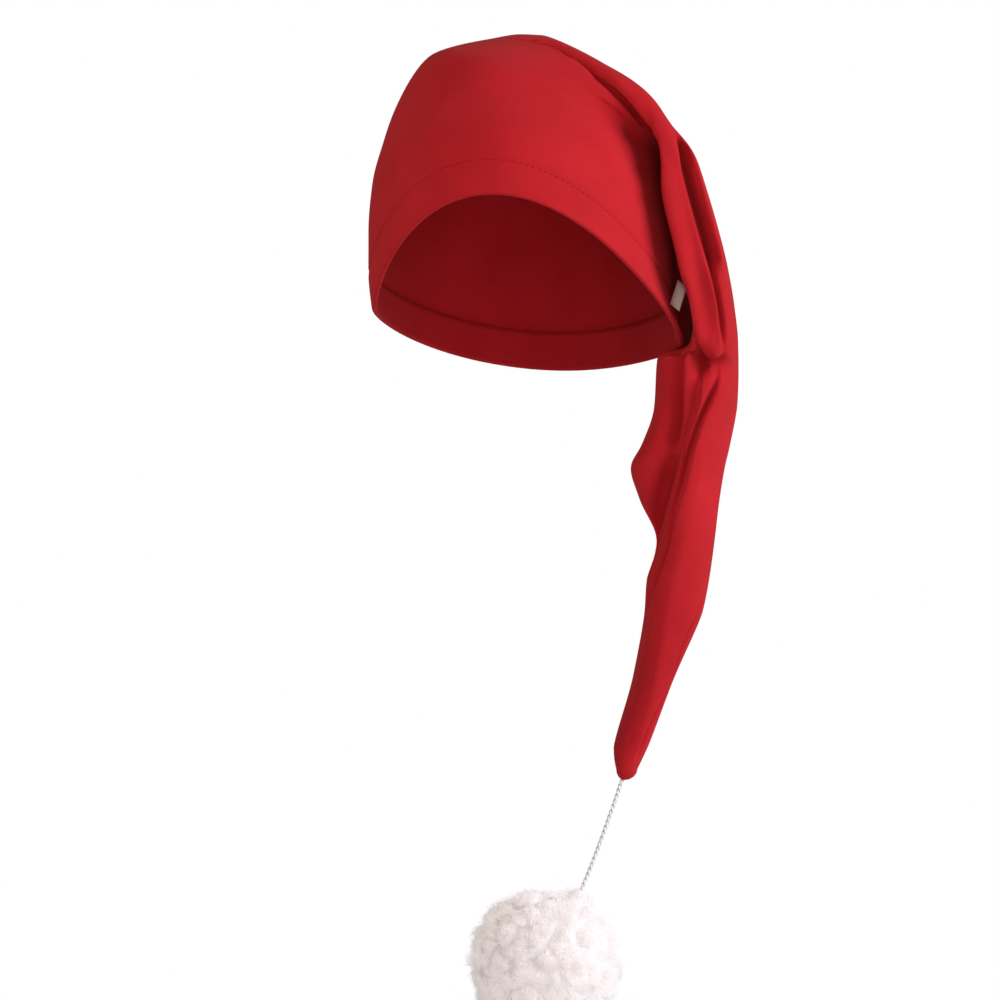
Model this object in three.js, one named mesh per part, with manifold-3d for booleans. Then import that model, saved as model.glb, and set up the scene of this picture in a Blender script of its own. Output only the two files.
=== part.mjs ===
// A long stocking-type santa hat of red jersey, in the form it has on a head:
// a crown, a tail that flops over and hangs beside it, and a pompom on a cord.
// Millimetres, +Z up, the wearer faces -Y. The origin is the centre of the head opening.
import * as THREE from 'three';
import { mergeVertices } from 'three/addons/utils/BufferGeometryUtils.js';
import Module from 'manifold-3d';

// Cloth thickness: one layer of jersey, and the two layers of the turned-up hem
const CLOTH = 1.4;
const HEM_CLOTH = 2.8;

// Each section of the hat is a closed oval. Seen from the front it runs from its inner point,
// on the side of the bend, to its outer point, on the outline. frontY and backY are its depths.
// rise lifts its front and drop lowers its back. frontWrap and backWrap curl its ends round the
// crown, turn is how many degrees the front end has gone on round the bend, and square is 2 for
// an ellipse and more for fuller corners.
const SECTION_COLUMNS = [
  'innerX', 'innerZ', 'outerX', 'outerZ', 'frontY', 'backY',
  'rise', 'drop', 'frontWrap', 'backWrap', 'turn', 'square',
];
const SECTIONS = {
  rim: [86, -30, -80, -12, -97, 92, 70, 22, 0, 0, 0, 2],
  hem_top: [84.5, -10, -82, 8, -94, 96, 68, 22, 0, 0, 0, 2],
  brow: [85, 15, -82, 31, -90, 99, 57, 22, 0, 0, 0, 2],
  upper_crown: [84, 40, -80, 56, -84, 100, 42, 20, 0, 0, 0, 2],
  temple: [83, 54, -74.5, 77.5, -77, 98, 32, 14, 0, 0, 0, 2],
  shoulder: [82.5, 64, -67, 99, -69, 92, 24, 8, 0, 0, 0, 2],
  left_top: [82, 70.5, -47, 128.5, -62, 78, 12, 2, 0, 0, 0, 2],
  crown_top: [82.3, 75, -16, 137.5, -56, 63, 5, 0, 0, 0, 0, 2],
  fold_line: [83.3, 78, 2, 140.5, -47, 55, 0, 0, 0, 0, 0, 2],
  roll_top: [85, 79.5, 14, 140, -53, 52, 0, 0, 0, 0, 0, 2],
  bend_start: [86.7, 79, 54, 120.5, -57, 49, 0, 0, 0, 0, 25, 2.2],
  bend_middle: [88, 76.5, 76, 98, -58, 48, 0, 0, 6.5, 2.5, 60, 2.4],
  bend_over: [88.7, 72.5, 89.5, 84, -58, 47, 0, 0, 14, 5.5, 60, 2.8],
  bend_end: [89.3, 65, 99.5, 71, -58, 46, 0, 0, 19.5, 7.5, 20, 3],
  hang_top: [90.5, 48.5, 107, 49.5, -57, 46, 0, 0, 23.5, 10, 0, 3],
  hang_upper: [97, 12.5, 117, 12.5, -53, 44, 0, 0, 21.5, 15, 0, 3],
  label_gap: [98.5, -10, 121, -10, -48, 42, 0, 0, 14, 16.5, 0, 2.9],
  hang_middle: [97.5, -31.5, 123.2, -30.5, -43, 40, 0, 0, 6, 8, 0, 2.8],
  below_rim: [78.5, -40.5, 123.5, -47, -38, 36, 0, 0, 0, 0, 0, 2.4],
  pocket: [76.6, -66.5, 123, -63.5, -34, 34, 0, 0, 0, 0, 0, 2.2],
  flap_top: [70, -86.5, 119, -86.5, -29, 29, 0, 0, 0, 0, 0, 2],
  flap_tip: [63.6, -100.5, 115.8, -100.5, -26, 26, 0, 0, 0, 0, 0, 2],
  flap_end: [68.3, -117.5, 113, -117.5, -23, 23, 0, 0, 0, 0, 0, 2],
  notch: [77.6, -142.5, 110, -142.5, -20, 20, 0, 0, 0, 0, 0, 2],
  strip: [72.2, -163.5, 107.3, -161.5, -17, 17, 0, 0, 0, 0, 0, 2],
  seam_start: [71, -179.5, 104, -178.5, -15, 15, 0, 0, 0, 0, 0, 2],
  panel_top: [64.4, -216.5, 87.5, -217.5, -12, 12, 0, 0, 0, 0, 0, 2],
  panel_low: [54, -255.5, 73, -255.5, -8, 8, 0, 0, 0, 0, 0, 2],
  tip: [55.5, -267, 67.5, -267, -5, 5, 0, 0, 0, 0, 0, 2],
};
const TIP_END = new THREE.Vector3(60, 0, -273.5);
const DEPTH_AXIS = new THREE.Vector3(0, 1, 0);
// How steeply an oval leaves its side points towards its raised front and its lowered back
const LIFT_POWER = 1.3;
// The raised front lies higher towards the outer point, by this share
const RISE_SLANT = 0.15;
// How narrowly an oval's ends curl round the crown. The front end curls on its inner side alone
const FRONT_WRAP_POWER = 5;
const BACK_WRAP_POWER = 2;
// How far the crown stands out on the tail's side, by section from the rim up, and how narrowly
const SIDE_FLARE = [7, 4, 3, 2, 1, 0.5, 0];
const SIDE_FLARE_POWER = 6;

// Creases in the cloth. A crease runs from one section to another. Its place across the oval is
// 0 at the outer point, 0.5 at the front, 1 at the inner point and 1.5 at the back.
const FOLD_COLUMNS = ['from', 'to', 'start', 'middle', 'end', 'depth', 'width'];
const FOLDS = {
  roll_split: ['bend_over', 'below_rim', 0.34, 0.27, 0.2, 9, 5],
  roll_edge: ['label_gap', 'pocket', 0.95, 0.66, 0.34, 6, 4],
  long_crease: ['below_rim', 'notch', 0.3, 0.5, 0.95, 5, 4],
  second_crease: ['pocket', 'seam_start', 0.3, 0.5, 0.95, 3, 4],
  strip_crease: ['hang_middle', 'flap_end', 0.95, 0.7, 0.55, 4, 3.5],
  back_roll: ['bend_start', 'flap_top', 1.75, 1.75, 1.45, 4, 6],
  back_crease: ['hang_middle', 'strip', 1.3, 1.45, 1.2, 4, 4],
  top_gather: ['temple', 'bend_start', 1.35, 1.4, 1.45, 4, 14],
  side_gather: ['temple', 'bend_start', 1.65, 1.6, 1.6, 4, 14],
};
const RIDGE_SHARE = 0.3;
const RIDGE_OFFSET = 2.1;

// How finely the hat is divided, with more points across the front, where the folds are
const CROWN_RINGS_PER_SECTION = 2;
const TAIL_RINGS_PER_SECTION = 3;
const FRONT_STEPS = 20;
const BACK_STEPS = 12;

// The cord from the tail's tip to the pompom
const CORD_DIAMETER = 2.5;
const CORD_SIDES = 8;
const CORD_STEPS = 16;
const CORD_ROUTE = [
  [58.8, 0.0, -273.5], [57.2, 0.2, -278.5], [55.6, 0.4, -283.3], [53.9, 0.5, -288.2],
  [52.1, 0.5, -293.2], [50.3, 0.4, -298.2], [48.5, 0.2, -303.2], [46.7, 0.0, -308.2],
  [44.8, -0.2, -313.2], [42.9, -0.3, -318.2], [40.9, -0.4, -323.2], [38.9, -0.4, -328.1],
  [36.9, -0.3, -332.7], [35.3, -0.2, -336.3], [33.8, -0.1, -339.4], [32.3, 0.0, -342.4],
];

// The pompom: a firm head with tapered locks of pile all round it
const POMPOM_CENTRE = new THREE.Vector3(16, 0, -375);
const POMPOM_RADIUS = 43;
const POMPOM_HEAD_RADIUS = 36.5;
const HEAD_DETAIL = 2;
const LOCK_COUNT = 54;
const LOCK_ROOT_RADIUS = 9.5;
const LOCK_TIP_RADIUS = 4;
const LOCK_SIDES = 5;
const LOCK_ROOT_DEPTH = 6;
const LOCK_CURL = 4;
const LOCK_TURN = 2.4;
const CORD_CLEARANCE = 14;

// The folded label in the crown's side seam
const LABEL_LENGTH = 5.9;
const LABEL_HEIGHT = 14;
const LABEL_CLOTH = 0.5;
const LABEL_LOOP = 1.8;
const LABEL_LOOP_STEPS = 6;
const LABEL_SEAM = new THREE.Vector3(87.9, -36, -3);
const LABEL_TURN = THREE.MathUtils.degToRad(-6);
const LABEL_LEAN = THREE.MathUtils.degToRad(4);

const red_jersey = new THREE.MeshStandardMaterial({ color: 0xb01c22, roughness: 0.9, metalness: 0 });
const label_tape = new THREE.MeshStandardMaterial({ color: 0xe6dccb, roughness: 0.8, metalness: 0 });
const white_cord = new THREE.MeshStandardMaterial({ color: 0xf2efec, roughness: 0.9, metalness: 0 });
const white_pile = new THREE.MeshStandardMaterial({ color: 0xf4f0ee, roughness: 1, metalness: 0 });

const sectionNames = Object.keys(SECTIONS);
const columnValues = Object.fromEntries(
  SECTION_COLUMNS.map((column, i) => [column, sectionNames.map((name) => SECTIONS[name][i])]),
);
const folds = Object.values(FOLDS).map((row) => {
  const fold = Object.fromEntries(FOLD_COLUMNS.map((column, i) => [column, row[i]]));
  fold.from = sectionNames.indexOf(fold.from);
  fold.to = sectionNames.indexOf(fold.to);
  return fold;
});

// Slope of a smooth curve through the values at row i that never overshoots them
function rowSlope(values, i) {
  const before = values[i] - values[i - 1];
  const after = values[i + 1] - values[i];
  return before * after > 0 ? (2 * before * after) / (before + after) : 0;
}

function blendRows(values, place) {
  const i = Math.min(Math.floor(place), values.length - 2);
  const f = place - i;
  const slopes = [rowSlope(values, i), rowSlope(values, i + 1)].map((slope) => slope || 0);
  const start = (1 + 2 * f) * (1 - f) ** 2 * values[i] + f * (1 - f) ** 2 * slopes[0];
  const end = f * f * (3 - 2 * f) * values[i + 1] + f * f * (f - 1) * slopes[1];
  return start + end;
}

function sectionAt(place) {
  const section = Object.fromEntries(
    SECTION_COLUMNS.map((column) => [column, blendRows(columnValues[column], place)]),
  );
  const across = new THREE.Vector3(section.outerX - section.innerX, 0, section.outerZ - section.innerZ);
  section.halfWidth = across.length() / 2;
  section.halfDepth = (section.backY - section.frontY) / 2;
  section.outward = across.normalize();
  section.centre = new THREE.Vector3(
    (section.outerX + section.innerX) / 2,
    (section.frontY + section.backY) / 2,
    (section.outerZ + section.innerZ) / 2,
  );
  return section;
}

// A place across the oval as an angle: 0 at the outer point, a quarter turn at the front
function acrossToAngle(across) {
  return across <= 1 ? Math.acos(1 - 2 * across) : 2 * Math.PI - Math.acos(1 - 2 * (2 - across));
}

// How far the cloth moves out of its oval here: in at the creases, out in the ridges beside them
function foldHeight(section, place, angle) {
  let height = 0;
  for (const fold of folds) {
    const f = (place - fold.from) / (fold.to - fold.from);
    if (f <= 0 || f >= 1) continue;
    const ends = fold.start * (1 - f) * (1 - 2 * f) + fold.end * f * (2 * f - 1);
    const across = ends + 4 * fold.middle * f * (1 - f);
    const turn = angle - acrossToAngle(across);
    const middle = angle - turn / 2;
    const arc = Math.hypot(section.halfWidth * Math.sin(middle), section.halfDepth * Math.cos(middle));
    const away = Math.abs(turn * arc) / fold.width;
    const strength = fold.depth * Math.sqrt(Math.sin(Math.PI * f));
    height += strength * (RIDGE_SHARE * Math.exp(-((away - RIDGE_OFFSET) ** 2)) - Math.exp(-away * away));
  }
  return height;
}

function sideFlare(place) {
  return blendRows(SIDE_FLARE, Math.min(place, SIDE_FLARE.length - 1));
}

function cornered(value, square) {
  return Math.sign(value) * Math.abs(value) ** (2 / square);
}

function clothPoint(section, place, angle) {
  const c = cornered(Math.cos(angle), section.square);
  const back = cornered(-Math.sin(angle), section.square);
  const rise = section.rise * (1 + RISE_SLANT * c);
  const lift = (back < 0 ? rise : -section.drop) * Math.abs(back) ** LIFT_POWER;
  const flare = sideFlare(place) * Math.max(0, -c) ** SIDE_FLARE_POWER;
  const turn = back < 0 ? THREE.MathUtils.degToRad(section.turn) * back ** 4 : 0;
  const outward = section.outward.clone().applyAxisAngle(DEPTH_AXIS, turn);
  const normal = outward.clone().multiplyScalar(Math.cos(angle) * section.halfDepth);
  normal.y = -Math.sin(angle) * section.halfWidth;
  const point = section.centre.clone();
  const frontCurl = (section.frontWrap * Math.abs(back) ** FRONT_WRAP_POWER * (1 - c)) / 2;
  const backCurl = section.backWrap * back ** BACK_WRAP_POWER;
  point.addScaledVector(outward, c * section.halfWidth);
  point.x += flare - (back < 0 ? frontCurl : backCurl);
  point.y += back * section.halfDepth;
  point.z += lift;
  return point.addScaledVector(normal.normalize(), foldHeight(section, place, angle));
}

function ringAngles() {
  const front = Array.from({ length: FRONT_STEPS }, (_, i) => (Math.PI * i) / FRONT_STEPS);
  const back = Array.from({ length: BACK_STEPS }, (_, i) => Math.PI * (1 + i / BACK_STEPS));
  return front.concat(back);
}

// The inner face of the wall: each outer point moved in along the surface normal
function innerRing(rings, r, thickness) {
  const ring = rings[r];
  const above = rings[Math.min(r + 1, rings.length - 1)];
  const below = rings[Math.max(r - 1, 0)];
  return ring.map((point, i) => {
    const next = ring[(i + 1) % ring.length];
    const previous = ring[(i + ring.length - 1) % ring.length];
    const around = next.clone().sub(previous);
    const along = above[i].clone().sub(below[i]);
    const inward = around.cross(along).normalize();
    return point.clone().addScaledVector(inward, thickness);
  });
}

// Where the rings lie, counted in sections from the rim to the tip
function ringPlaces() {
  const tailStart = sectionNames.indexOf('hang_top');
  const places = [];
  for (let i = 0; i < sectionNames.length - 1; i += 1) {
    const rings = i < tailStart ? CROWN_RINGS_PER_SECTION : TAIL_RINGS_PER_SECTION;
    for (let k = 0; k < rings; k += 1) {
      places.push(i + k / rings);
    }
  }
  return places.concat(sectionNames.length - 1);
}

function hatBody() {
  const angles = ringAngles();
  const places = ringPlaces();
  const ringCount = places.length;
  const outer = places.map((place) => {
    const section = sectionAt(place);
    return angles.map((angle) => clothPoint(section, place, angle));
  });
  const hemTop = sectionNames.indexOf('hem_top');
  const inner = outer.map((_, r) => innerRing(outer, r, places[r] <= hemTop ? HEM_CLOTH : CLOTH));
  const around = angles.length;
  const points = outer.flat().concat(inner.flat());
  const triangles = [];
  const innerStart = ringCount * around;
  const quad = (a, b, c, d) => triangles.push(a, b, c, a, c, d);
  for (let i = 0; i < around; i += 1) {
    const j = (i + 1) % around;
    for (let r = 0; r < ringCount - 1; r += 1) {
      const low = r * around;
      const high = low + around;
      quad(low + j, low + i, high + i, high + j);
      quad(innerStart + low + i, innerStart + low + j, innerStart + high + j, innerStart + high + i);
    }
    quad(i, j, innerStart + j, innerStart + i);
  }
  const lastOuter = (ringCount - 1) * around;
  const lastInner = innerStart + lastOuter;
  const innerEnd = inner.at(-1).reduce((sum, point) => sum.add(point), new THREE.Vector3());
  points.push(TIP_END, innerEnd.divideScalar(around));
  for (let i = 0; i < around; i += 1) {
    const j = (i + 1) % around;
    triangles.push(lastOuter + j, lastOuter + i, points.length - 2);
    triangles.push(lastInner + i, lastInner + j, points.length - 1);
  }
  const geometry = new THREE.BufferGeometry().setFromPoints(points);
  geometry.setIndex(triangles);
  return geometry;
}

function cordTube() {
  const route = new THREE.CatmullRomCurve3(CORD_ROUTE.map((point) => new THREE.Vector3(...point)));
  const section = new THREE.Shape();
  for (let i = 0; i < CORD_SIDES; i += 1) {
    const angle = (2 * Math.PI * i) / CORD_SIDES;
    const corner = new THREE.Vector2(Math.cos(angle), Math.sin(angle)).multiplyScalar(CORD_DIAMETER / 2);
    if (i === 0) section.moveTo(corner.x, corner.y);
    else section.lineTo(corner.x, corner.y);
  }
  section.closePath();
  return new THREE.ExtrudeGeometry(section, { steps: CORD_STEPS, extrudePath: route });
}

// Two layers of tape from the seam to a small loop at the fold, seen along the label's height
function foldedLabel() {
  const outline = new THREE.Shape();
  const loopCentre = LABEL_LENGTH - LABEL_LOOP / 2;
  outline.moveTo(0, -LABEL_CLOTH);
  outline.lineTo(loopCentre / 2, -LABEL_CLOTH);
  outline.lineTo(loopCentre, -LABEL_LOOP / 2);
  outline.absarc(loopCentre, 0, LABEL_LOOP / 2, -Math.PI / 2, Math.PI / 2);
  outline.lineTo(loopCentre / 2, LABEL_CLOTH);
  outline.lineTo(0, LABEL_CLOTH);
  outline.closePath();
  const geometry = new THREE.ExtrudeGeometry(outline, {
    depth: LABEL_HEIGHT,
    bevelEnabled: false,
    curveSegments: LABEL_LOOP_STEPS,
  });
  return geometry.translate(0, 0, -LABEL_HEIGHT / 2);
}

const wasm = await Module();
wasm.setup();

function solidOf(geometry) {
  geometry.deleteAttribute('normal');
  geometry.deleteAttribute('uv');
  const merged = mergeVertices(geometry);
  const mesh = new wasm.Mesh({
    numProp: 3,
    vertProperties: new Float32Array(merged.attributes.position.array),
    triVerts: new Uint32Array(merged.index.array),
  });
  return new wasm.Manifold(mesh);
}

function geometryOf(solid) {
  const mesh = solid.getMesh();
  const geometry = new THREE.BufferGeometry();
  geometry.setAttribute('position', new THREE.BufferAttribute(mesh.vertProperties, 3));
  geometry.setIndex(new THREE.BufferAttribute(mesh.triVerts, 1));
  return geometry;
}

// Even spread of directions over a ball, by turns of the golden angle
function lockDirection(i) {
  const height = 1 - (2 * (i + 0.5)) / LOCK_COUNT;
  const turn = i * Math.PI * (3 - Math.sqrt(5));
  const radius = Math.sqrt(1 - height * height);
  return new THREE.Vector3(radius * Math.cos(turn), radius * Math.sin(turn), height);
}

// One lock: a tuft from inside the head to the ball's outside, its end curled sideways
function pileLock(i) {
  const root = POMPOM_HEAD_RADIUS - LOCK_ROOT_DEPTH;
  const length = POMPOM_RADIUS - root;
  const tuft = new THREE.CylinderGeometry(LOCK_TIP_RADIUS, LOCK_ROOT_RADIUS, length, LOCK_SIDES, 1);
  tuft.rotateY(i);
  tuft.translate(0, root + length / 2, 0);
  const position = tuft.attributes.position;
  for (let k = 0; k < position.count; k += 1) {
    if (position.getY(k) < POMPOM_HEAD_RADIUS) continue;
    position.setX(k, position.getX(k) + LOCK_CURL * Math.cos(i * LOCK_TURN));
    position.setZ(k, position.getZ(k) + LOCK_CURL * Math.sin(i * LOCK_TURN));
  }
  const upright = new THREE.Vector3(0, 1, 0);
  return tuft.applyQuaternion(new THREE.Quaternion().setFromUnitVectors(upright, lockDirection(i)));
}

function pompomBall() {
  const cordEnd = new THREE.Vector3(...CORD_ROUTE.at(-1)).sub(POMPOM_CENTRE);
  let ball = solidOf(new THREE.IcosahedronGeometry(POMPOM_HEAD_RADIUS, HEAD_DETAIL));
  for (let i = 0; i < LOCK_COUNT; i += 1) {
    const lockFoot = lockDirection(i).multiplyScalar(POMPOM_HEAD_RADIUS);
    if (lockFoot.distanceTo(cordEnd) > CORD_CLEARANCE) ball = ball.add(solidOf(pileLock(i)));
  }
  return geometryOf(ball);
}

function piece(name, geometry, material) {
  const mesh = new THREE.Mesh(geometry, material);
  mesh.name = name;
  return mesh;
}

const hat = new THREE.Group();
hat.add(piece('hat_body', hatBody(), red_jersey));

const label = piece('care_label', foldedLabel(), label_tape);
label.position.copy(LABEL_SEAM);
label.rotation.set(0, LABEL_LEAN, LABEL_TURN);
hat.add(label);

hat.add(piece('pompom_cord', cordTube(), white_cord));

const pompom = piece('pompom', pompomBall(), white_pile);
pompom.position.copy(POMPOM_CENTRE);
hat.add(pompom);

export default hat;
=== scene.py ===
# %% [markdown]
# A santa hat in red jersey
#
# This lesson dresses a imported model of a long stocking-type santa hat. The construction model gives
# the true sizes. Here each soft part becomes what it is on the real hat: one sheet of folded jersey,
# a turned-up hem with its stitches, a small label, a twisted cord and a ball of long pile.
# Everything is in the frame of the construction model: +Z up, the wearer faces -Y. Meshes are in
# metres. The tables of the cloth and the label are in millimetres, and MM turns them into metres.

# %% load the construction model
import math

import bmesh
import bpy
import numpy as np
from mathutils import Matrix, Vector


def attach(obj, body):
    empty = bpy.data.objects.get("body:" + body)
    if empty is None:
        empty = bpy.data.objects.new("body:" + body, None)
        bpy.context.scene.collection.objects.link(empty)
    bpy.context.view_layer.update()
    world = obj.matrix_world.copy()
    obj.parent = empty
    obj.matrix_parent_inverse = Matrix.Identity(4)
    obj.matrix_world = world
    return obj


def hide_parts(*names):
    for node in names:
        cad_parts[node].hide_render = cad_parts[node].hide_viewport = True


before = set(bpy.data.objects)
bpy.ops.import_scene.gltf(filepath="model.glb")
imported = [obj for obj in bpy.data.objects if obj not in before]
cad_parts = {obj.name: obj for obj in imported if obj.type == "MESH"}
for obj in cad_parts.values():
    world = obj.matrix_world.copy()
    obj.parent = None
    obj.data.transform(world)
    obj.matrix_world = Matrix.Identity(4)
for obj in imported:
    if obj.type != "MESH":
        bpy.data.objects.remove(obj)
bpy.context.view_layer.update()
MM = 0.001
print("construction nodes:", sorted(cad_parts))

# %% [markdown]
# The camera
#
# The hat was photographed level and straight from the front. A long lens keeps the sides from
# leaning, so the camera stands eight metres away. Its target is the middle of the picture, and its
# angle of view is worked out from the width that the picture shows at the hat.

# %% camera
PICTURE_WIDTH = 0.555
PICTURE_CENTRE = Vector((-0.0089, 0.0, -0.118))
CAMERA_DISTANCE = 8.0

camera_data = bpy.data.cameras.new("camera")
camera_data.sensor_fit = "HORIZONTAL"
camera_data.angle = 2 * math.atan(PICTURE_WIDTH / 2 / CAMERA_DISTANCE)
camera = bpy.data.objects.new("camera", camera_data)
bpy.context.scene.collection.objects.link(camera)
camera.location = PICTURE_CENTRE + Vector((0.0, -CAMERA_DISTANCE, 0.0))
camera.rotation_euler = (math.radians(90), 0.0, 0.0)
bpy.context.scene.camera = camera
print("angle of view:", round(math.degrees(camera_data.angle), 2), "degrees")

# %% [markdown]
# Helpers for pieces
#
# A bmesh is a mesh in memory that the operators of bmesh.ops can create, extrude and move. When it
# has its shape it is written to a mesh, and the object stays at the origin, so that every piece is
# placed by its vertices alone.


# %% helpers that finish a piece
def finish_piece(name, bm, material, node=None):
    """Write a bmesh to a mesh and place it."""
    mesh = bpy.data.meshes.new(name)
    bm.to_mesh(mesh)
    bm.free()
    return place_piece(name, mesh, material, node)


def place_piece(name, mesh, material, node=None):
    """Make an object of a mesh, with its material and the node that it replaces."""
    for polygon in mesh.polygons:
        polygon.use_smooth = True
    mesh.materials.append(material)
    piece = bpy.data.objects.new(name, mesh)
    bpy.context.scene.collection.objects.link(piece)
    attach(piece, "root")
    if node:
        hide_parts(node)
    triangles = sum(len(polygon.vertices) - 2 for polygon in mesh.polygons)
    print(name, "has", triangles, "triangles")
    return piece


# %% [markdown]
# Helpers for materials
#
# Every finish here is a Principled shader with a few texture nodes. What is the same all over is
# set on the shader's own sockets. What varies, such as colour and bump, comes from nodes that read
# the piece's UV map, laid out in metres along the cloth, or its object coordinates.


# %% helpers that build materials
def new_finish(name, **sockets):
    material = bpy.data.materials.new(name)
    material.use_nodes = True
    shader = material.node_tree.nodes["Principled BSDF"]
    for socket, value in sockets.items():
        shader.inputs[socket.replace("_", " ")].default_value = value
    return material, shader


def add_node(owner, kind, **inputs):
    node = owner.node_tree.nodes.new(kind)
    for socket, value in inputs.items():
        node.inputs[socket.replace("_", " ")].default_value = value
    return node


def wire(owner, source, target):
    owner.node_tree.links.new(source, target)


def math_node(material, operation, first, second=None):
    node = add_node(material, "ShaderNodeMath")
    node.operation = operation
    for socket, value in zip(node.inputs, (first, second)):
        if isinstance(value, (int, float)):
            socket.default_value = value
        elif value is not None:
            wire(material, value, socket)
    return node.outputs[0]


def add_bump(material, shader, height, strength, distance, under=None):
    bump = add_node(material, "ShaderNodeBump", Strength=strength, Distance=distance)
    wire(material, height, bump.inputs["Height"])
    if under:
        wire(material, under.outputs["Normal"], bump.inputs["Normal"])
    wire(material, bump.outputs["Normal"], shader.inputs["Normal"])
    return bump


# %% helpers that colour materials
TONE_STOPS = (0.3, 0.7)


def noise(material, coordinates, scale, detail=2.0):
    node = add_node(material, "ShaderNodeTexNoise", Scale=scale, Detail=detail)
    wire(material, coordinates, node.inputs["Vector"])
    return node.outputs["Fac"]


def colour_ramp(material, factor, dark, light):
    """A colour that goes from dark to light as the factor grows."""
    node = add_node(material, "ShaderNodeValToRGB")
    for element, stop, colour in zip(node.color_ramp.elements, TONE_STOPS, (dark, light)):
        element.position = stop
        element.color = (*colour, 1.0)
    wire(material, factor, node.inputs["Fac"])
    return node.outputs["Color"]


def mottle(material, shader, scale, dark, light, detail=2.0):
    """Colour a finish in two tones that a noise spreads over the piece, and return the noise."""
    place = add_node(material, "ShaderNodeTexCoord").outputs["Object"]
    grain = noise(material, place, scale, detail)
    wire(material, colour_ramp(material, grain, dark, light), shader.inputs["Base Color"])
    return grain


# %% [markdown]
# The cord
#
# A white yarn of two plies twisted together hangs from the tail's tip to the pompom. A curve with
# a round bevel would give a plain tube. Here each ply is a ring of vertices that is extruded along
# a helix round the cord's line, so the twist is real and catches the light.

# %% cord route
CORD_ROUTE = np.array([
    (58.8, 0.0, -273.5), (57.2, 0.2, -278.5), (55.6, 0.4, -283.3), (53.9, 0.5, -288.2),
    (52.1, 0.5, -293.2), (50.3, 0.4, -298.2), (48.5, 0.2, -303.2), (46.7, 0.0, -308.2),
    (44.8, -0.2, -313.2), (42.9, -0.3, -318.2), (40.9, -0.4, -323.2), (38.9, -0.4, -328.1),
    (36.9, -0.3, -332.7), (35.3, -0.2, -336.3), (33.8, -0.1, -339.4), (32.3, 0.0, -342.4),
]) * MM
LINE_STEPS = 8


def smooth_line(points):
    """A Catmull-Rom curve through the points, with a few steps between two of them."""
    points = np.asarray(points, dtype=float)
    ends = np.vstack([2 * points[0] - points[1], points, 2 * points[-1] - points[-2]])
    line = []
    for i in range(len(points) - 1):
        p0, p1, p2, p3 = ends[i:i + 4]
        for t in np.arange(LINE_STEPS) / LINE_STEPS:
            cubic = (3 * (p1 - p2) + p3 - p0) * t ** 3
            square = (2 * p0 - 5 * p1 + 4 * p2 - p3) * t ** 2
            line.append(p1 + 0.5 * (cubic + square + (p2 - p0) * t))
    line.append(points[-1])
    return np.array(line)


def lengths_along(line):
    return np.concatenate([[0.0], np.cumsum(np.linalg.norm(np.diff(line, axis=0), axis=1))])


cord_line = smooth_line(CORD_ROUTE)

# %% cord material
white_yarn, yarn_shader = new_finish(
    "white_yarn", Roughness=0.85, Sheen_Weight=0.3, Sheen_Roughness=0.5)
yarn_fibres = mottle(white_yarn, yarn_shader, 2600.0, (0.74, 0.71, 0.69), (0.93, 0.92, 0.91), 3.0)
add_bump(white_yarn, yarn_shader, yarn_fibres, 0.5, 0.0003)
print("finish:", white_yarn.name)


# %% helpers that extrude rings
def next_ring(bm, ring):
    """Extrude a closed ring of vertices once. The new ring has the same order."""
    edges = [bm.edges.get((ring[i - 1], ring[i])) for i in range(len(ring))]
    made = bmesh.ops.extrude_edge_only(bm, edges=edges)["geom"]
    fresh = {item for item in made if isinstance(item, bmesh.types.BMVert)}
    return [
        next(edge.other_vert(vert) for edge in vert.link_edges if edge.other_vert(vert) in fresh)
        for vert in ring]


def across_line(line):
    """Two directions square to the line at each of its points."""
    along = np.gradient(line, axis=0)
    along /= np.linalg.norm(along, axis=1)[:, None]
    side = np.cross(along, np.array([0.0, 1.0, 0.0]))
    side /= np.linalg.norm(side, axis=1)[:, None]
    return side, np.cross(side, along)


def extrude_tube(bm, line, radius, sides):
    """A closed round tube: a circle, extruded from point to point of the line."""
    side, up = across_line(line)
    turns = 2 * math.pi * np.arange(sides) / sides
    ring = bmesh.ops.create_circle(bm, segments=sides, radius=1.0, cap_ends=True)["verts"]
    for i, point in enumerate(line):
        if i:
            ring = next_ring(bm, ring)
        for vert, turn in zip(ring, turns):
            vert.co = point + radius * (math.cos(turn) * side[i] + math.sin(turn) * up[i])
    bmesh.ops.contextual_create(bm, geom=ring)


# %% cord plies
PLY_COUNT = 2
PLY_RADIUS = 0.00068
PLY_OFFSET = 0.00056
PLY_SIDES = 8
TWIST_LENGTH = 0.0062

bm = bmesh.new()
cord_side, cord_up = across_line(cord_line)
twist = 2 * math.pi * lengths_along(cord_line) / TWIST_LENGTH
for ply in range(PLY_COUNT):
    phase = (twist + 2 * math.pi * ply / PLY_COUNT)[:, None]
    helix = cord_line + PLY_OFFSET * (np.cos(phase) * cord_side + np.sin(phase) * cord_up)
    extrude_tube(bm, helix, PLY_RADIUS, PLY_SIDES)
bmesh.ops.recalc_face_normals(bm, faces=bm.faces)
cord = finish_piece("twisted_cord", bm, white_yarn, "pompom_cord")

# %% [markdown]
# The form of the hat
#
# The hat is one tube of cloth, from the rim over the crown and down the tail to the tip. The table
# gives the sections of that tube, in millimetres, close to those of the construction model. Seen
# from the front, a section runs from its inner point, on the side of the bend, to its outer point,
# on the outline. Rise and drop tilt the rim, the wraps curl the edges of the flat tail towards the
# crown, turn rolls those edges round the bend, and square makes an oval fuller. The side flare
# pushes out the side of the crown that the tail hangs against. Between two sections the values
# blend on a curve that never overshoots.

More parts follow.
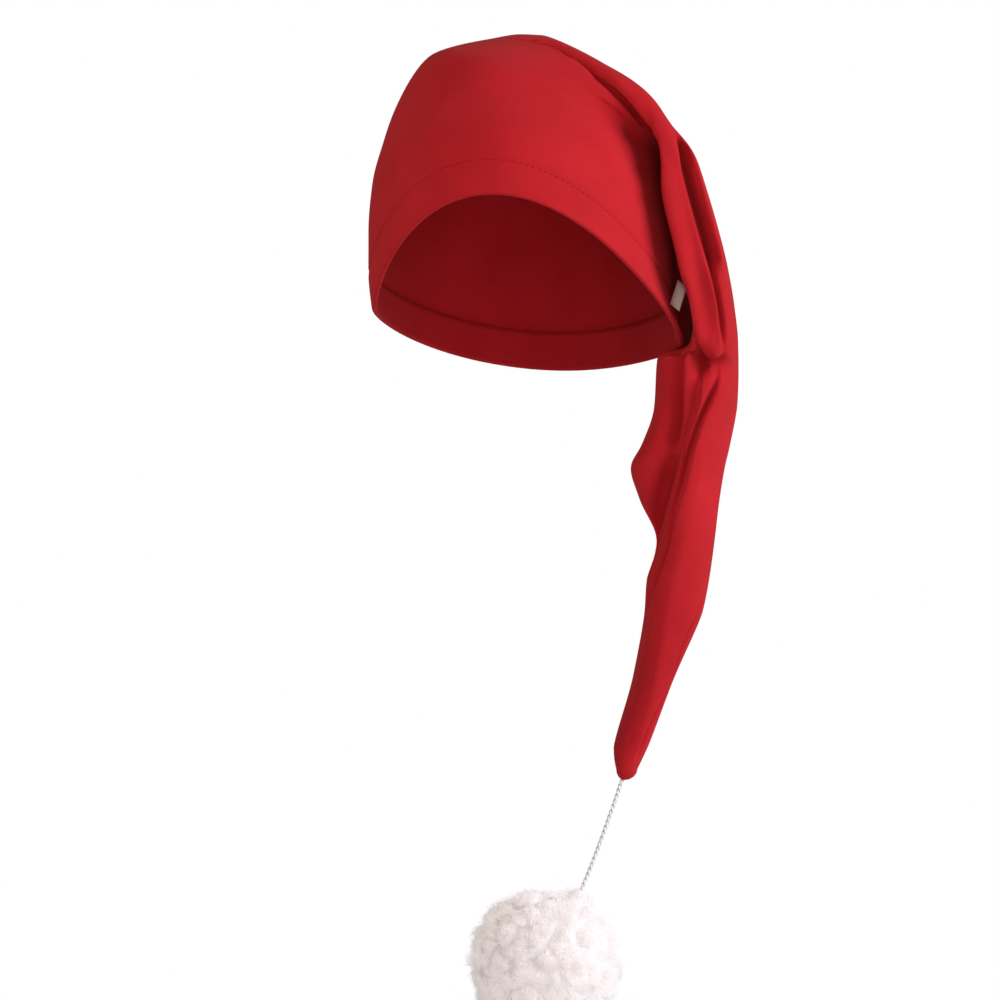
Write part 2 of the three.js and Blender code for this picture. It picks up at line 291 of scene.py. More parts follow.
# %% sections of the hat
SECTION_COLUMNS = (
    "inner_x", "inner_z", "outer_x", "outer_z", "front_y", "back_y",
    "rise", "drop", "front_wrap", "back_wrap", "turn", "square",
)
SECTIONS = {
    "rim": (86, -30, -80, -12, -97, 92, 70, 22, 0, 0, 0, 2),
    "hem_top": (84.5, -10, -82, 8, -94, 96, 68, 22, 0, 0, 0, 2),
    "brow": (85, 15, -82, 31, -90, 99, 57, 22, 0, 0, 0, 2),
    "upper_crown": (84, 40, -80, 56, -84, 100, 42, 20, 0, 0, 0, 2),
    "temple": (83, 54, -74.5, 77.5, -77, 98, 32, 14, 0, 0, 0, 2),
    "shoulder": (82.5, 64, -67, 99, -69, 92, 24, 8, 0, 0, 0, 2),
    "left_top": (82, 70.5, -47, 128.5, -62, 78, 12, 2, 0, 0, 0, 2),
    "crown_top": (82.3, 75, -16, 137.5, -56, 63, 5, 0, 0, 0, 0, 2),
    "fold_line": (83.3, 78, 2, 140.5, -54.5, 55, 0, 0, 0, 0, 0, 2),
    "roll_top": (85, 79.5, 14, 140, -53, 52, 0, 0, 0, 0, 0, 2),
    "bend_start": (86.7, 79, 54, 120.5, -57, 49, 0, 0, 0, 0, 25, 2.2),
    "bend_middle": (88, 76.5, 76, 98, -58, 48, 0, 0, 6.5, 2.5, 60, 2.4),
    "bend_over": (88.7, 72.5, 89.5, 84, -58, 47, 0, 0, 14, 5.5, 60, 2.8),
    "bend_end": (89.3, 65, 99.5, 71, -58, 46, 0, 0, 19.5, 7.5, 20, 3),
    "hang_top": (90.5, 48.5, 107, 49.5, -57, 46, 0, 0, 23.5, 10, 0, 3),
    "hang_upper": (97, 12.5, 117, 12.5, -53, 44, 0, 0, 21.5, 15, 0, 3),
    "label_gap": (98.5, -10, 121, -10, -48, 42, 0, 0, 14, 16.5, 0, 2.9),
    "hang_middle": (96, -31.5, 123.2, -30.5, -43, 40, 0, 0, 6, 11, 0, 2.8),
    "below_rim": (78.5, -39.3, 123.5, -47, -38, 36, 0, 0, 0, 0, 0, 2.4),
    "pocket": (76.6, -66.5, 123, -63.5, -34, 34, 0, 0, 0, 0, 0, 2.2),
    "flap_top": (70, -86.5, 119, -86.5, -29, 29, 0, 0, 0, 0, 0, 2),
    "flap_tip": (63.6, -100.5, 115.8, -100.5, -26, 26, 0, 0, 0, 0, 0, 2),
    "flap_end": (68.3, -117.5, 113, -117.5, -23, 23, 0, 0, 0, 0, 0, 2),
    "notch": (77.6, -142.5, 110, -142.5, -20, 20, 0, 0, 0, 0, 0, 2),
    "strip": (72.2, -163.5, 107.3, -161.5, -17, 17, 0, 0, 0, 0, 0, 2),
    "seam_start": (71, -179.5, 104, -178.5, -15, 15, 0, 0, 0, 0, 0, 2),
    "panel_top": (64.4, -216.5, 87.5, -217.5, -12, 12, 0, 0, 0, 0, 0, 2),
    "panel_low": (54, -255.5, 73, -255.5, -8, 8, 0, 0, 0, 0, 0, 2),
    "tip": (55.5, -267, 67.5, -267, -5, 5, 0, 0, 0, 0, 0, 2),
}
TIP_END = np.array([60.0, 0.0, -273.5])

section_names = list(SECTIONS)
section_rows = np.array(list(SECTIONS.values()), dtype=float)
print(len(section_rows), "sections from the rim to the tip")

# %% blend between the sections
row_steps = np.diff(section_rows, axis=0)
before, after = row_steps[:-1], row_steps[1:]
same_way = before * after > 0
row_slopes = np.zeros_like(section_rows)
row_slopes[1:-1] = np.where(same_way, 2 * before * after / np.where(same_way, before + after, 1), 0)


def section_at(place):
    """The values at a place: 0 is the first section, 1.5 is halfway between the next two."""
    i = min(int(place), len(section_rows) - 2)
    f = place - i
    row = (1 + 2 * f) * (1 - f) ** 2 * section_rows[i] + f * (1 - f) ** 2 * row_slopes[i]
    row = row + f * f * (3 - 2 * f) * section_rows[i + 1] + f * f * (f - 1) * row_slopes[i + 1]
    return dict(zip(SECTION_COLUMNS, row))


print("values that go one way over a section:", int(same_way.sum()), "of", same_way.size)

# %% one oval of cloth
LIFT_POWER = 1.3
RISE_SLANT = 0.15
TURN_POWER = 4
FRONT_WRAP_POWER = 5
BACK_WRAP_POWER = 2
SIDE_FLARE = (7, 4, 3, 2, 1, 0.5, 0)
SIDE_FLARE_POWER = 6


def cornered(value, square):
    return np.sign(value) * np.abs(value) ** (2 / square)


def oval(place, angles):
    """The section at a place, in millimetres: angle 0 is its outer point, a quarter turn its front."""
    s = section_at(place)
    inner = np.array([s["inner_x"], s["front_y"], s["inner_z"]])
    outer = np.array([s["outer_x"], s["back_y"], s["outer_z"]])
    centre, half = (inner + outer) / 2, (outer - inner) / 2
    c = cornered(np.cos(angles), s["square"])
    back = cornered(-np.sin(angles), s["square"])
    front = back < 0
    turn = math.radians(s["turn"]) * back ** TURN_POWER
    points = np.empty((len(angles), 3))
    points[:, 0] = centre[0] + c * (half[0] * np.cos(turn) + half[2] * np.sin(turn))
    points[:, 1] = centre[1] + back * half[1]
    points[:, 2] = centre[2] + c * (half[2] * np.cos(turn) - half[0] * np.sin(turn))
    front_curl = s["front_wrap"] * np.abs(back) ** FRONT_WRAP_POWER * (1 - c) / 2
    points[:, 0] -= np.where(front, front_curl, s["back_wrap"] * back ** BACK_WRAP_POWER)
    flare = np.interp(place, np.arange(len(SIDE_FLARE)), SIDE_FLARE)
    points[:, 0] += flare * np.maximum(0, -c) ** SIDE_FLARE_POWER
    rise = s["rise"] * (1 + RISE_SLANT * c)
    points[:, 2] += np.where(front, rise, -s["drop"]) * np.abs(back) ** LIFT_POWER
    return points


# %% rings of the whole hat
FRONT_STEPS = 128
BACK_STEPS = 48
RING_GAP = 2.5

front_angles = math.pi * np.arange(FRONT_STEPS) / FRONT_STEPS
back_angles = math.pi * (1 + np.arange(BACK_STEPS) / BACK_STEPS)
ring_angles = np.concatenate([front_angles, back_angles])


def ring_places():
    """Places of the rings, so that the cloth moves on by about one ring gap from each to the next."""
    places = []
    for i in range(len(section_rows) - 1):
        travel = np.linalg.norm(oval(i + 1, ring_angles) - oval(i, ring_angles), axis=1)
        rings = max(2, round((travel.mean() + travel.max()) / 2 / RING_GAP))
        places.extend(i + np.arange(rings) / rings)
    return np.array(places + [len(section_rows) - 1.0])


places = ring_places()
cloth = np.array([oval(place, ring_angles) for place in places])
print("rings:", len(places), "points in a ring:", len(ring_angles))

# %% [markdown]
# Folds
#
# Jersey falls in long soft rolls, and where one roll lies on the next there is a lip with a dark
# tuck under it. Each fold is a line of a few points seen from the front, in millimetres. On its top
# side the cloth rises to a lip that laps over the line, and on the other side it dips into the tuck.
#
# A fold that runs along the hat is measured round each ring, and one that runs across it is measured
# down the columns of points. A fold that winds through both is measured as it is seen. The edge is
# the width of the step, the reaches say how far each side goes, and a swell lifts or lowers the
# cloth past the tuck. With aim 0 the cloth moves along its own normal and with 1 straight forwards
# and back. First is the share of the depth at the line's start, and fade is the share of the line's
# length over which its ends die away.

# %% kinds of folds
FOLD_COLUMNS = (
    "runs", "top", "lip", "tuck", "lap", "edge", "lip_reach", "tuck_reach", "swell", "aim", "first",
    "fade",
)
FOLDS = {
    "crown_edge": ("across", "crown", 0.6, 6.5, 1.0, 1.1, 8.0, 6.5, 1.0, 0.0, 1.0, 0.07),
    "strip_edge": ("along", "right", 1.2, 8.0, 0.8, 1.3, 4.0, 10.0, 0.0, 0.6, 1.0, 0.14),
    "leaf_edge": ("along", "right", 1.0, 14.0, 0.8, 1.4, 3.5, 20.0, 0.0, 0.85, 0.3, 0.14),
    "panel_edge": ("along", "right", 1.8, 6.0, 1.2, 1.4, 9.0, 3.5, 0.0, 0.3, 1.0, 0.14),
    "low_ridge": ("along", "right", 1.5, 0.0, 0.0, 5.0, 6.0, 7.0, -8.0, 0.95, 1.0, 0.1),
    "flange_fold": ("along", "left", 0.6, 2.6, 0.4, 0.7, 5.0, 2.5, 0.0, 0.0, 1.0, 0.14),
    "roll_edge": ("seen", "right", 2.0, 9.0, 1.0, 1.3, 8.0, 7.0, 0.0, 0.3, 0.0, 0.14),
    "roll_round": ("along", "left", 0.0, 5.0, 0.0, 6.0, 7.0, 10.0, 0.0, 0.9, 1.0, 0.14),
    "roll_hollow": ("along", "left", 0.0, 13.0, 0.8, 1.6, 7.0, 6.0, 6.0, 0.85, 1.0, 0.14),
    "low_hollow": ("along", "left", 0.5, 5.0, 0.6, 1.0, 6.0, 2.6, 0.0, 0.6, 1.0, 0.3),
}
print(len(FOLDS), "folds on the front")

# %% lines of the folds
FOLD_LINES = {
    "crown_edge": [
        (-6, 137), (8, 135), (22, 131), (35.5, 122.8), (43.6, 114.7), (50.3, 108), (59.7, 99.2),
        (67.2, 90.5), (71, 86)],
    "strip_edge": [(93.6, -30), (92.8, -40), (92.4, -56.5), (92.4, -67.5), (91.4, -80), (90.5, -92)],
    "leaf_edge": [
        (103, -38), (102.4, -51), (101.3, -60), (100.2, -67.5), (97, -78.5), (93.7, -88.5),
        (91, -98), (87, -113), (82, -129.5), (77.5, -145)],
    "panel_edge": [
        (114, -44), (112.5, -52), (109.5, -60), (106.2, -67.5), (103, -75.3), (99.5, -86.2), (97, -94),
        (95.6, -102.7), (93, -111.5), (89.5, -122.4), (87.1, -134.5), (84.9, -146.6), (80.5, -158.7),
        (76, -170), (72, -183)],
    "low_ridge": [
        (104, -88), (99, -110), (93, -135), (86, -160), (81, -180), (78.3, -201.6), (74.9, -222.7),
        (71, -236.8), (65.5, -254.3), (63.5, -264)],
    "flange_fold": [
        (103, -168), (101, -178), (91.5, -198.5), (85.5, -219), (74, -241.5), (65.5, -263.5)],
    "roll_edge": [
        (93.2, 10), (93.8, 2), (94.6, -8), (96.5, -19), (99.5, -29), (103, -36.5), (107, -40),
        (111, -40), (116, -36)],
    "roll_round": [
        (83, 78), (85.5, 67), (90, 43), (93.8, 26), (96.6, 10), (100.5, -7), (103.8, -24), (106, -36)],
    "roll_hollow": [
        (86.6, 86), (89.3, 78), (90.2, 72.4), (90.9, 66), (93.6, 55.6), (97.2, 42), (101, 28.6),
        (104.7, 15.2), (107.2, 6)],
    "low_hollow": [
        (101, 28.6), (104.7, 15.2), (107.6, 5.8), (110.2, -6.3), (112, -17), (113.3, -30), (113.8, -40)],
}
print("points on the lines of the folds:", sum(len(line) for line in FOLD_LINES.values()))

# %% find where a fold crosses the rings
LINE_END = 0.001
FRONT_SIDE = -3.0
LONGEST_STEP = 8.0


def lattice_normals(grid):
    """The outward normal at each point of the rings."""
    around = np.roll(grid, -1, axis=1) - np.roll(grid, 1, axis=1)
    normals = np.cross(around, np.gradient(grid, axis=0))
    return normals / np.maximum(np.linalg.norm(normals, axis=2), 1e-9)[:, :, None]


def nearest_on_line(x, z, line):
    """Distance to a line seen from the front, plus on one side, and the share of its length."""
    signed = np.full(x.shape, 1e9)
    share = np.zeros(x.shape)
    lengths = lengths_along(line)
    for i, (start, step) in enumerate(zip(line[:-1], np.diff(line, axis=0))):
        size = np.hypot(*step)
        f = np.clip(((x - start[0]) * step[0] + (z - start[1]) * step[1]) / size ** 2, 0, 1)
        dx, dz = x - start[0] - f * step[0], z - start[1] - f * step[1]
        away = np.hypot(dx, dz)
        closer = away < np.abs(signed)
        side = np.where(step[0] * dz - step[1] * dx < 0, -1, 1)
        signed = np.where(closer, away * side, signed)
        share = np.where(closer, (lengths[i] + f * size) / lengths[-1], share)
    return signed, share


def crossings(tracks, line):
    """For each track of points: the length at which the line crosses its front, and the line's share."""
    signed, share = nearest_on_line(tracks[:, :, 0], tracks[:, :, 2], line)
    arcs = np.array([lengths_along(track) for track in tracks])
    middles, shares = np.full(len(tracks), np.nan), np.zeros(len(tracks))
    for t in range(len(tracks)):
        a, b = signed[t, :-1], signed[t, 1:]
        inside = (share[t, :-1] > LINE_END) & (share[t, :-1] < 1 - LINE_END)
        inside &= tracks[t, :-1, 1] < FRONT_SIDE
        found = np.flatnonzero((a * b <= 0) & (np.abs(a - b) < LONGEST_STEP) & inside)
        if len(found):
            k = found[np.argmin(tracks[t, found, 1])]
            f = a[k] / (a[k] - b[k]) if a[k] != b[k] else 0.0
            middles[t] = arcs[t, k] + f * (arcs[t, k + 1] - arcs[t, k])
            shares[t] = share[t, k] + f * (share[t, k + 1] - share[t, k])
    return arcs, middles, shares


# %% measure the cloth from a fold
SMOOTHING = np.array([1, 2, 3, 2, 1]) / 9
FACING_FROM = 0.05
FACING_RANGE = 0.35


def smooth_step(value):
    value = np.clip(value, 0, 1)
    return value * value * (3 - 2 * value)


def fade_ends(share, ends):
    return smooth_step(share / ends) * smooth_step((1 - share) / ends)


def fold_seen(grid, normals, line, ends):
    """Distance from a line as it is seen, its fade, the way under the fold and the line's share."""
    signed, share = nearest_on_line(grid[:, :, 0], grid[:, :, 2], line)
    along = np.gradient(line, axis=0)[np.rint(share * (len(line) - 1)).astype(int)]
    along /= np.linalg.norm(along, axis=2)[:, :, None]
    under = np.stack([along[:, :, 1], np.zeros_like(share), -along[:, :, 0]], axis=2)
    under -= normals * (under * normals).sum(axis=2)[:, :, None]
    facing = smooth_step((-normals[:, :, 1] - FACING_FROM) / FACING_RANGE)
    return -signed, fade_ends(share, ends) * facing, under, share


def fold_tracks(tracks, line, ends):
    """Length from a line along each ring or column, its fade, the way onwards and the line's share."""
    arcs, middles, shares = crossings(tracks, line)
    known = np.flatnonzero(~np.isnan(middles))
    middles = np.interp(np.arange(len(tracks)), known, middles[known])
    middles[2:-2] = np.convolve(middles, SMOOTHING, mode="valid")
    fade = np.convolve(fade_ends(shares, ends), SMOOTHING, mode="same")[:, None]
    onward = np.gradient(tracks, axis=1)
    onward /= np.maximum(np.linalg.norm(onward, axis=2), 1e-9)[:, :, None]
    return arcs - middles[:, None], fade, onward, shares[:, None]


# %% fold the front
EDGE_SLOPE = 3.0
STEEPEST = 40.0
SWELL_PLACE = 2.3
SWELL_WIDTH = 1.1
LEAST_AIM = 0.1


def fold_front(grid, name):
    """How one fold moves the cloth: its top side lies over the line, the other side tucks under."""
    fold = dict(zip(FOLD_COLUMNS, FOLDS[name]))
    swap = (1, 0, 2) if fold["runs"] == "across" else (0, 1, 2)
    tracks = grid.transpose(swap)
    normals = lattice_normals(grid).transpose(swap)
    line = smooth_line(FOLD_LINES[name])
    if fold["runs"] == "seen":
        s, fade, under, share = fold_seen(tracks, normals, line, fold["fade"])
    else:
        s, fade, under, share = fold_tracks(tracks, line, fold["fade"])
    fade = fade * (fold["first"] + (1 - fold["first"]) * smooth_step(share))
    tucked = -1 if fold["top"] == "left" else 1
    s = s * tucked
    over = 1 / (1 + np.exp(np.clip(EDGE_SLOPE * s / fold["edge"], -STEEPEST, STEEPEST)))
    lip = over * np.exp(-(np.minimum(s, 0) / fold["lip_reach"]) ** 2)
    tuck = (1 - over) * np.exp(-(np.maximum(s, 0) / fold["tuck_reach"]) ** 2)
    past_tuck = s - SWELL_PLACE * fold["tuck_reach"]
    swell = np.exp(-(past_tuck / (SWELL_WIDTH * fold["tuck_reach"])) ** 2)
    height = fade * (fold["lip"] * lip - fold["tuck"] * tuck + fold["swell"] * swell)
    slide = fade * fold["lap"] * tucked * lip
    aim = normals * (1 - fold["aim"]) + np.array([0.0, -fold["aim"], 0.0])
    aim /= np.maximum(np.linalg.norm(aim, axis=2), LEAST_AIM)[:, :, None]
    return (aim * height[:, :, None] + under * slide[:, :, None]).transpose(swap)


# %% [markdown]
# Dents
#
# Where folds meet, the cloth also sinks in small soft dents: a pocket under the end of the front
# roll and three dimples beside the bend. Each is a round push straight back. Folds and dents are all
# worked out on the smooth form and then added up, so that none of them bends the next one.

# %% dents
DENT_COLUMNS = ("x", "z", "width", "height", "depth")
DENTS = {
    "roll_pocket": (102.5, -42, 4.4, 8.0, 10.0),
    "bend_dimple": (62.0, 84.0, 4.5, 4.0, 2.5),
    "crown_dimple": (69.0, 65.0, 4.0, 4.0, 3.0),
    "crown_pinch": (63.0, 48.0, 6.0, 3.5, 2.2),
}
DENT_FACING = 0.3


def dent_front(grid, name):
    """How one soft dent pushes the front of the cloth back."""
    dent = dict(zip(DENT_COLUMNS, DENTS[name]))
    across = (grid[:, :, 0] - dent["x"]) / dent["width"]
    up = (grid[:, :, 2] - dent["z"]) / dent["height"]
    facing = smooth_step(-lattice_normals(grid)[:, :, 1] / DENT_FACING)
    push = np.zeros_like(grid)
    push[:, :, 1] = dent["depth"] * np.exp(-np.hypot(across, up) ** 2) * facing
    return push


folded = [fold_front(cloth, name) for name in FOLDS] + [dent_front(cloth, name) for name in DENTS]
cloth = cloth + sum(folded)
print("the cloth spans", np.ptp(cloth.reshape(-1, 3), axis=0).round(1), "mm")

# %% [markdown]
# Rolls on the sides and the back
#
# The sides and the back have softer rolls and gathers, which the construction model has as well.
# They run from one section to another, at a place across the oval: 0 is its outer point, 0.5 its
# front, 1 its inner point and 1.5 its back. The cloth dips there and rises a little beside it.

# %% soft rolls
ROLL_COLUMNS = ("from", "to", "start", "middle", "end", "depth", "width")
ROLLS = {
    "back_roll": ("bend_start", "flap_top", 1.75, 1.75, 1.45, 4, 6),
    "back_crease": ("hang_middle", "strip", 1.3, 1.45, 1.2, 4, 4),
    "top_gather": ("temple", "bend_start", 1.35, 1.4, 1.45, 4, 14),
    "side_gather": ("temple", "bend_start", 1.65, 1.6, 1.6, 4, 14),
}
RIDGE_SHARE = 0.3
RIDGE_OFFSET = 2.1


def across_to_angle(across):
    if across <= 1:
        return math.acos(1 - 2 * across)
    return 2 * math.pi - math.acos(1 - 2 * (2 - across))


def roll_height(place, ring):
    """How far the soft rolls move each point of one ring out of its oval."""
    height = np.zeros(len(ring))
    lengths = lengths_along(np.vstack([ring, ring[:1]]))
    for row in ROLLS.values():
        roll = dict(zip(ROLL_COLUMNS, row))
        start, end = section_names.index(roll["from"]), section_names.index(roll["to"])
        f = (place - start) / (end - start)
        if not 0 < f < 1:
            continue
        across = roll["start"] * (1 - f) * (1 - 2 * f) + roll["end"] * f * (2 * f - 1)
        angle = across_to_angle(across + 4 * roll["middle"] * f * (1 - f))
        middle = np.interp(angle, ring_angles, lengths[:-1])
        away = np.abs(lengths[:-1] - middle) / roll["width"]
        strength = roll["depth"] * math.sqrt(math.sin(math.pi * f))
        height += strength * (RIDGE_SHARE * np.exp(-(away - RIDGE_OFFSET) ** 2) - np.exp(-away ** 2))
    return height


roll_heights = np.array([roll_height(place, ring) for place, ring in zip(places, cloth)])
cloth = cloth + lattice_normals(cloth) * roll_heights[:, :, None]
print("deepest soft roll:", round(-roll_heights.min(), 1), "mm")

# %% [markdown]
# From rings to a sheet
#
# The first ring is a circle of vertices. Extruding its edges gives the next ring, which is then
# moved to its own oval, and so on to the tip, as a knitting machine makes a tube. The hem is part
# of the sheet: it starts inside the crown, goes down to the rim and turns up on the outside.

# %% hem and tip rings
HEM_FOLD = 1.45
HEM_TURN_STEPS = 6
HEM_DENT = 0.6
TIP_RINGS = 4

normals = lattice_normals(cloth)
down = cloth[0] - cloth[1]
down /= np.linalg.norm(down, axis=1)[:, None]
hem_rows = np.flatnonzero(places <= section_names.index("hem_top"))
hem_inside = (cloth - 2 * HEM_FOLD * normals)[hem_rows[::-1]]
cloth[hem_rows[-1]] -= HEM_DENT * normals[hem_rows[-1]]
turn_angles = math.pi * (1 - np.arange(1, HEM_TURN_STEPS) / HEM_TURN_STEPS)
hem_turn = np.array([
    cloth[0] - HEM_FOLD * (1 - math.cos(a)) * normals[0] + HEM_FOLD * math.sin(a) * down
    for a in turn_angles])
tip_rings = np.array([
    TIP_END + (cloth[-1] - TIP_END) * np.array([math.cos(a), math.cos(a), 1 - math.sin(a)])
    for a in math.pi / 2 * np.arange(1, TIP_RINGS) / TIP_RINGS])
sheet_rings = np.concatenate([hem_inside, hem_turn, cloth, tip_rings]) * MM
print("rings with hem and tip:", len(sheet_rings))


# %% extrude the sheet
def sheet_uv(rings):
    """Metres round each ring from its front, and metres along from the first ring."""
    wrapped = np.concatenate([rings, rings[:, :1]], axis=1)
    around = np.cumsum(np.linalg.norm(np.diff(wrapped, axis=1), axis=2), axis=1)
    around = np.concatenate([np.zeros((len(rings), 1)), around], axis=1)
    around -= around[:, FRONT_STEPS // 2][:, None]
    along = np.cumsum(np.linalg.norm(np.diff(wrapped, axis=0), axis=2), axis=0)
    along = np.concatenate([np.zeros((1, wrapped.shape[1])), along])
    return np.stack([around, along], axis=2)


def extrude_sheet(rings, end):
    """A tube of quads through the rings, closed at its end, with UVs in metres."""
    bm = bmesh.new()
    ring = bmesh.ops.create_circle(bm, segments=rings.shape[1], radius=1.0)["verts"]
    place_of = {}
    for row, points in enumerate(rings):
        if row:
            ring = next_ring(bm, ring)
        for column, (vert, point) in enumerate(zip(ring, points)):
            vert.co = point
            place_of[vert] = (row, column)
    layer = bm.loops.layers.uv.new("cloth")
    table = sheet_uv(rings)
    for face in bm.faces:
        corners = [place_of[loop.vert] for loop in face.loops]
        seam = max(column for _, column in corners) - min(column for _, column in corners) > 1
        for loop, (row, column) in zip(face.loops, corners):
            loop[layer].uv = table[row, rings.shape[1] if seam and column == 0 else column]
    last = next_ring(bm, ring)
    bmesh.ops.pointmerge(bm, verts=last, merge_co=Vector(end))
    bmesh.ops.recalc_face_normals(bm, faces=bm.faces)
    return bm


bm = extrude_sheet(sheet_rings, TIP_END * MM)
sheet_area = sum(face.calc_area() for face in bm.faces)
print("area of the sheet:", round(sheet_area, 4), "square metres")

# %% [markdown]
# Red jersey
#
# Jersey is a fine knit: columns of small V-shaped stitches. A wave along the columns, bent into Vs
# by the distance from the middle of its column, gives their height for the bump. The dye is a
# little uneven and the surface is brushed, so the colour has a slow and a fine variation, and sheen
# gives the soft rim of light.

# %% knit of the jersey
WALE = 0.0011
COURSE = 0.0009
STITCH_SHARE = 0.3


def knit_height(material, uv):
    """Height of a plain knit on a UV map in metres: bulging columns of slanted stitches."""
    split = add_node(material, "ShaderNodeSeparateXYZ")
    wire(material, uv, split.inputs["Vector"])
    column = math_node(material, "FRACT", math_node(material, "DIVIDE", split.outputs["X"], WALE))
    middle = math_node(material, "ABSOLUTE", math_node(material, "SUBTRACT", column, 0.5))
    slant = math_node(material, "DIVIDE", split.outputs["Y"], COURSE)
    slant = math_node(material, "SUBTRACT", slant, middle)
    stitch = math_node(material, "SINE", math_node(material, "MULTIPLY", slant, 2 * math.pi))
    column_wave = math_node(material, "SINE", math_node(material, "MULTIPLY", middle, 2 * math.pi))
    stitch = math_node(material, "MULTIPLY", stitch, STITCH_SHARE)
    return math_node(material, "ADD", stitch, column_wave)


# %% jersey material
JERSEY_DARK = (0.44, 0.009, 0.014)
JERSEY_LIGHT = (0.55, 0.014, 0.021)
DYE_SCALE = 28.0
DYE_SHARE = 0.6
FUZZ_SCALE = 1500.0
FUZZ_SHARE = 0.4

red_jersey, jersey_shader = new_finish(
    "red_jersey", Roughness=0.9, Specular_IOR_Level=0.15, Sheen_Weight=0.05, Sheen_Roughness=0.5,
    Sheen_Tint=(1.0, 0.45, 0.45, 1.0))
jersey_place = add_node(red_jersey, "ShaderNodeTexCoord").outputs
dye = noise(red_jersey, jersey_place["Object"], DYE_SCALE)
fuzz = noise(red_jersey, jersey_place["UV"], FUZZ_SCALE)
tone = math_node(red_jersey, "ADD", math_node(red_jersey, "MULTIPLY", dye, DYE_SHARE),
                 math_node(red_jersey, "MULTIPLY", fuzz, FUZZ_SHARE))
red = colour_ramp(red_jersey, tone, JERSEY_DARK, JERSEY_LIGHT)
wire(red_jersey, red, jersey_shader.inputs["Base Color"])
fuzz_bump = add_bump(red_jersey, jersey_shader, fuzz, 0.25, 0.0004)
knit = knit_height(red_jersey, jersey_place["UV"])
add_bump(red_jersey, jersey_shader, knit, 0.35, 0.0002, fuzz_bump)
print("finish:", red_jersey.name)

# %% the hat's cloth
CLOTH = 0.0014

hat = finish_piece("hat_cloth", bm, red_jersey, "hat_body")
wall = hat.modifiers.new("cloth_thickness", "SOLIDIFY")
wall.thickness = CLOTH
wall.offset = -1.0

# %% [markdown]
# Stitches in the hem
#
# One row of straight stitches holds the turned-up hem and shows outside as short dashes in red
# thread. Each stitch is a small ball, stretched along the row and sunk halfway into the cloth.

# %% thread material
red_thread, thread_shader = new_finish("red_thread", Roughness=0.9, Specular_IOR_Level=0.15)
mottle(red_thread, thread_shader, 2400.0, (0.28, 0.005, 0.008), (0.36, 0.008, 0.011))
print("finish:", red_thread.name)

# %% hem stitches
STITCH_LENGTH = 0.0026
STITCH_PITCH = 0.0036
STITCH_RADIUS = 0.0003


def stitch_row(name, line, outward, material):
    """Stitches along a line, one to each pitch."""
    lengths = lengths_along(line)
    count = round(lengths[-1] / STITCH_PITCH)
    bm = bmesh.new()
    for k in range(count):
        at = (k + 0.5) * lengths[-1] / count
        place = [np.interp(at, lengths, line[:, axis]) for axis in range(3)]
        i = np.searchsorted(lengths, at) - 1
        along = Vector(line[i + 1] - line[i]).normalized()
        side = along.cross(Vector(outward[i])).normalized()
        height = side.cross(along)
        shape = Matrix((along * STITCH_LENGTH / 2, side * STITCH_RADIUS, height * STITCH_RADIUS))
        matrix = Matrix.Translation(place) @ shape.transposed().to_4x4()
        bmesh.ops.create_icosphere(bm, subdivisions=2, radius=1.0, matrix=matrix)
    bmesh.ops.recalc_face_normals(bm, faces=bm.faces)
    print(count, "stitches")
    return finish_piece(name, bm, material)


hem_ring = cloth[hem_rows[-1]] * MM
stitch_row("hem_stitches", np.vstack([hem_ring, hem_ring[:1]]), normals[hem_rows[-1]], red_thread)

# %% [markdown]
# The label
#
# A folded tape is caught in the seam where the crown and the tail part. It is a strip that goes out,
# turns in a small loop and comes back. A column of edges is extruded along that line, and the whole
# strip then leans and turns a little, as it does in its narrow gap.

# %% label material
label_tape, tape_shader = new_finish("label_tape", Roughness=0.6, Sheen_Weight=0.1)
# The tape's own colour is a pale off-white. These tones are painted shade: darker and pink-brown, as the
# tape looks in its dark gap with red light from the cloth falling on it.
tape_weave = mottle(label_tape, tape_shader, 2200.0, (0.44, 0.31, 0.27), (0.56, 0.42, 0.37))
add_bump(label_tape, tape_shader, tape_weave, 0.3, 0.0002)
print("finish:", label_tape.name)

# %% line of the label
LABEL_LENGTH = 5.9
LABEL_LOOP = 0.9
LABEL_LOOP_STEPS = 8
SEAM_GAP = 0.3
MIDDLE_GAP = 0.45

loop_centre = LABEL_LENGTH - LABEL_LOOP
loop_turns = math.pi * (np.arange(LABEL_LOOP_STEPS + 1) / LABEL_LOOP_STEPS - 0.5)
tape_line = [(0.0, -SEAM_GAP), (loop_centre / 2, -MIDDLE_GAP)]
tape_line += [(loop_centre + LABEL_LOOP * math.cos(a), LABEL_LOOP * math.sin(a)) for a in loop_turns]
tape_line += [(loop_centre / 2, MIDDLE_GAP), (0.0, SEAM_GAP)]
print("points along the tape:", len(tape_line))

# %% label
LABEL_HEIGHT = 14.0
LABEL_ROWS = 5
LABEL_CLOTH = 0.0004
LABEL_SEAM = Vector((87.3, -36.0, -3.0)) * MM
LABEL_TURN = math.radians(-6)
LABEL_LEAN = math.radians(18)
LABEL_DROOP = 0.4

